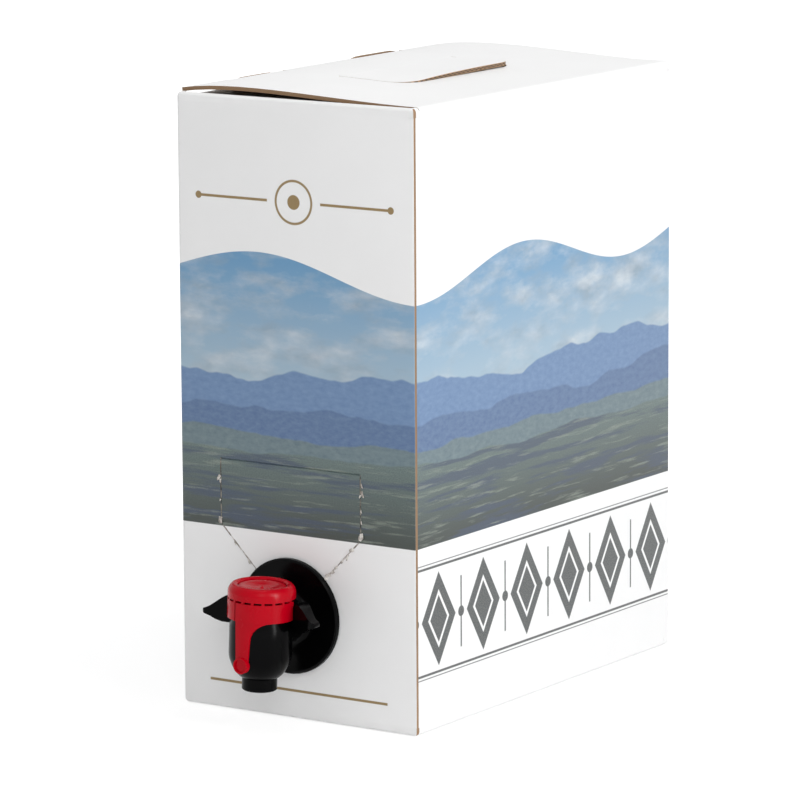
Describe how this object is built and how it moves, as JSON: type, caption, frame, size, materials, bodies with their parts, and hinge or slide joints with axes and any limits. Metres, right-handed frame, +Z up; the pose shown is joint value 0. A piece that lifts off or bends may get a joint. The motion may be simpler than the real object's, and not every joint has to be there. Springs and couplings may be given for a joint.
{
  "type": "bag in box carton",
  "caption": "Upright corrugated carton holding a filled bag, with a press tap at the foot of its front, a tear-off seal, a lock-tab lid and a press-in hand flap.",
  "frame": {"origin": "middle of the base, on the plane it stands on", "axes": "+Z up, -Y towards the front panel and its tap, +X towards the lid's hinge"},
  "size_m": [0.116, 0.2358, 0.2581],
  "materials": {
    "board": "white coated corrugated board, printed in soft landscape colours, brown inside",
    "film": "silvery barrier film",
    "black_plastic": "gloss black moulding",
    "red_plastic": "gloss red moulding",
    "clear_plastic": "natural white moulding"
  },
  "bodies": {
    "box": {"carton_body": "board", "bag": "film", "gland": "clear_plastic", "tap_body": "black_plastic", "seal_cap": "red_plastic"},
    "lid": {"lid": "board"},
    "hand_flap": {"hand_flap": "board"},
    "button": {"push_button": "red_plastic", "valve_stem": "clear_plastic", "valve_shutter": "clear_plastic"}
  },
  "joints": [
    {"name": "lid_hinge", "type": "hinge", "parent": "box", "child": "lid", "pos_m": [0.058, 0, 0.255], "axis": [0, 1, 0], "range_deg": [0, 180]},
    {"name": "hand_flap_hinge", "type": "hinge", "parent": "lid", "child": "hand_flap", "pos_m": [-0.0165, 0, 0.2563], "axis": [0, 1, 0], "range_deg": [0, 45]},
    {"name": "button_press", "type": "slide", "parent": "box", "child": "button", "axis": [-0.0436, 0, -0.999], "range_m": [0, 0.003], "stiffness_N_per_m": 1500}
  ]
}
